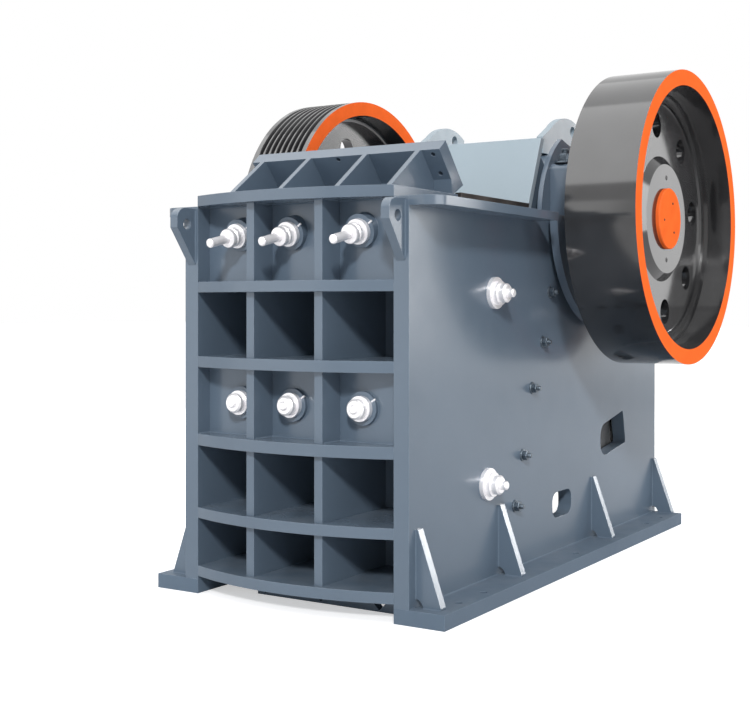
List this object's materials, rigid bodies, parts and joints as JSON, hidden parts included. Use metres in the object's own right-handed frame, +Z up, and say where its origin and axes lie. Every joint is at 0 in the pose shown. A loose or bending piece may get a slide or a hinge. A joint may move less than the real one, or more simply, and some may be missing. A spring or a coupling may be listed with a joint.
{
  "type": "jaw crusher",
  "caption": "Jaw crusher with ribbed front wall, flared feed apron, corrugated jaws, eccentric shaft with flywheel and grooved belt pulley, on bolted feet.",
  "frame": {"origin": "on the floor at the centre of the foundation bolt pattern, in the middle plane of the machine", "axes": "+X to the flywheel side, +Y from the ribbed front wall to the rear (discharge and toggle side), +Z up"},
  "size_m": [2.82, 3.5226, 3.0278],
  "materials": {
    "frame_paint": "satin slate-blue paint",
    "pale_paint": "satin pale blue-grey paint",
    "wheel_black": "gloss black paint",
    "cap_orange": "satin orange paint",
    "shaft_steel": "turned steel",
    "bright_steel": "bright plated steel",
    "manganese_steel": "cast manganese steel",
    "cast_grey": "grey casting",
    "spring_rubber": "black rubber"
  },
  "bodies": {
    "frame": {"adjusting_shims": "shaft_steel", "apron_ribs": "frame_paint", "block_rails": "frame_paint", "bolt_panels": "frame_paint", "cheek_bolts": "bright_steel", "feed_apron": "frame_paint", "fixed_jaw_plate": "manganese_steel", "front_bolts": "bright_steel", "front_rib_1": "frame_paint", "front_rib_2": "frame_paint", "front_rib_3": "frame_paint", "front_rib_4": "frame_paint", "front_rib_5": "frame_paint", "front_sill": "frame_paint", "front_top_plate": "frame_paint", "front_uprights": "frame_paint", "front_wall_plate": "frame_paint", "head_guards": "frame_paint", "left_bearing_cap": "frame_paint", "left_bearing_housing": "frame_paint", "left_cheek_plate": "manganese_steel", "left_foot_plate": "frame_paint", "left_gussets": "frame_paint", "left_lifting_lug": "frame_paint", "left_side_plate": "frame_paint", "left_top_flange": "frame_paint", "rear_ribs": "frame_paint", "rear_uprights": "frame_paint", "rear_wall": "frame_paint", "right_bearing_cap": "frame_paint", "right_bearing_housing": "frame_paint", "right_cheek_plate": "manganese_steel", "right_foot_plate": "frame_paint", "right_gussets": "frame_paint", "right_lifting_lug": "frame_paint", "right_side_plate": "frame_paint", "right_top_flange": "frame_paint", "tension_springs": "spring_rubber", "toggle_block": "cast_grey", "toggle_plate": "cast_grey"},
    "shaft": {"eccentric_shaft": "shaft_steel", "flywheel": "wheel_black", "belt_pulley": "wheel_black", "flywheel_cap": "cap_orange", "pulley_cap": "cap_orange"},
    "swing_jaw": {"pitman": "frame_paint", "swing_jaw_plate": "manganese_steel", "jaw_head_cover": "pale_paint", "jaw_lifting_ears": "pale_paint", "tension_rods": "shaft_steel"}
  },
  "joints": [
    {"name": "shaft_spin", "type": "hinge", "parent": "frame", "child": "shaft", "pos_m": [0, 0.507, 2.12], "axis": [1, 0, 0], "continuous": true},
    {"name": "jaw_on_eccentric", "type": "hinge", "parent": "shaft", "child": "swing_jaw", "pos_m": [0, 0.507, 2.105], "axis": [1, 0, 0], "continuous": true}
  ],
  "couplings": [
    {"joint": "jaw_on_eccentric", "follows": "shaft_spin", "ratio": -1}
  ]
}
